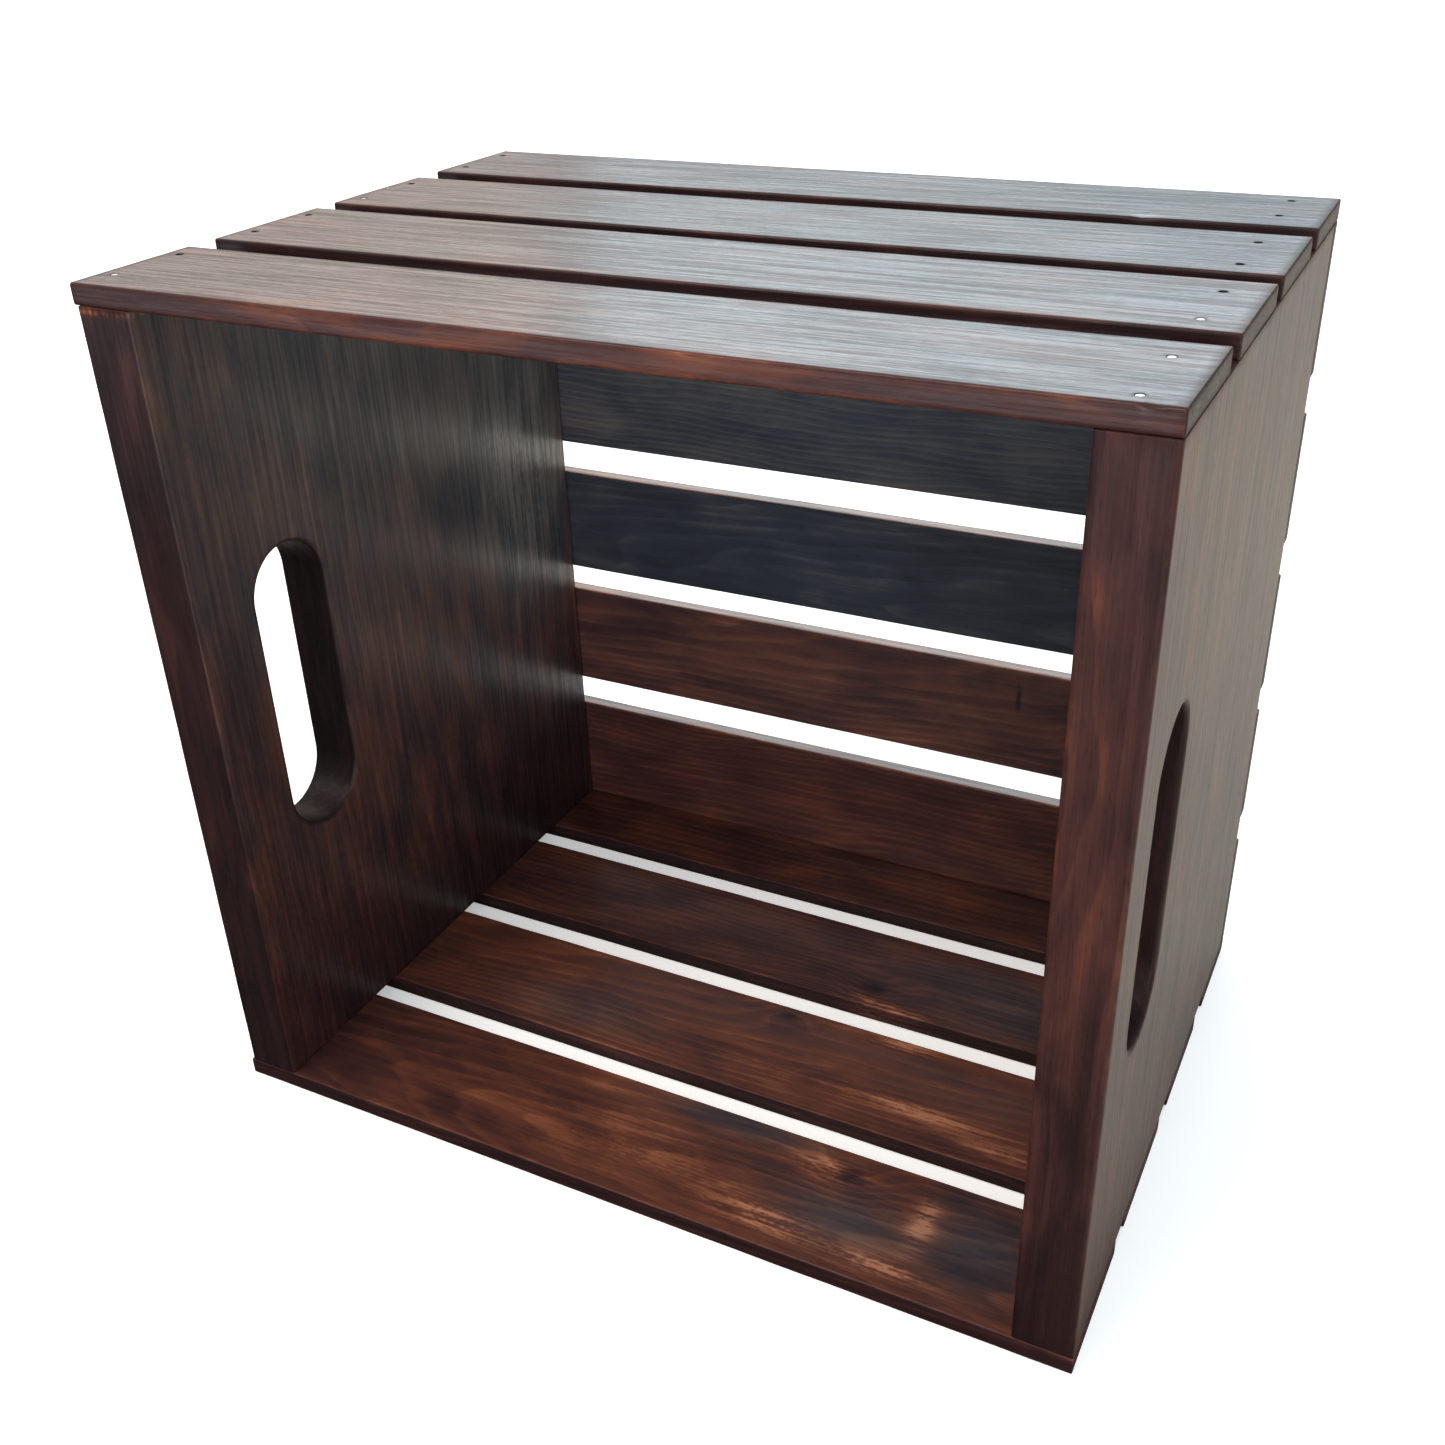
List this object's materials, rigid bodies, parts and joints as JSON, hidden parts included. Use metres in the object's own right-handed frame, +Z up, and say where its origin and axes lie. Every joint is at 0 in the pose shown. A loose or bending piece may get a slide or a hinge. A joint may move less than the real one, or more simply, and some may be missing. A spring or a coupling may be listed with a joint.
{
  "type": "slatted wooden apple crate",
  "caption": "Open slatted wooden apple crate lying on its long side, with solid end panels, hand holes and a dark stained finish.",
  "frame": {"origin": "centre of the footprint of the crate as it lies on its long side, on the surface it lies on", "axes": "+X along the slats, from the left end panel to the right one; +Y from the open mouth to the slatted base of the crate; +Z up. Turned 90 degrees about X so that +Y points down, it is a carrying crate with its mouth up and its hand holes level."},
  "size_m": [0.311, 0.222, 0.293],
  "materials": {
    "stained_slat": "dark red-brown stained pine, satin varnish",
    "stained_end_panel": "dark brown stained pine, satin varnish",
    "nail_steel": "bright brad nails, partly dulled by stain"
  },
  "bodies": {
    "root": {"top_slat_1": "stained_slat", "top_slat_2": "stained_slat", "top_slat_3": "stained_slat", "top_slat_4": "stained_slat", "bottom_slat_1": "stained_slat", "bottom_slat_2": "stained_slat", "bottom_slat_3": "stained_slat", "bottom_slat_4": "stained_slat", "back_slat_1": "stained_slat", "back_slat_2": "stained_slat", "back_slat_3": "stained_slat", "back_slat_4": "stained_slat", "back_slat_5": "stained_slat", "end_panel_left": "stained_end_panel", "end_panel_right": "stained_end_panel", "nails_top_left": "nail_steel", "nails_top_right": "nail_steel", "nails_bottom_left": "nail_steel", "nails_bottom_right": "nail_steel", "nails_back_left": "nail_steel", "nails_back_right": "nail_steel"}
  },
  "joints": []
}
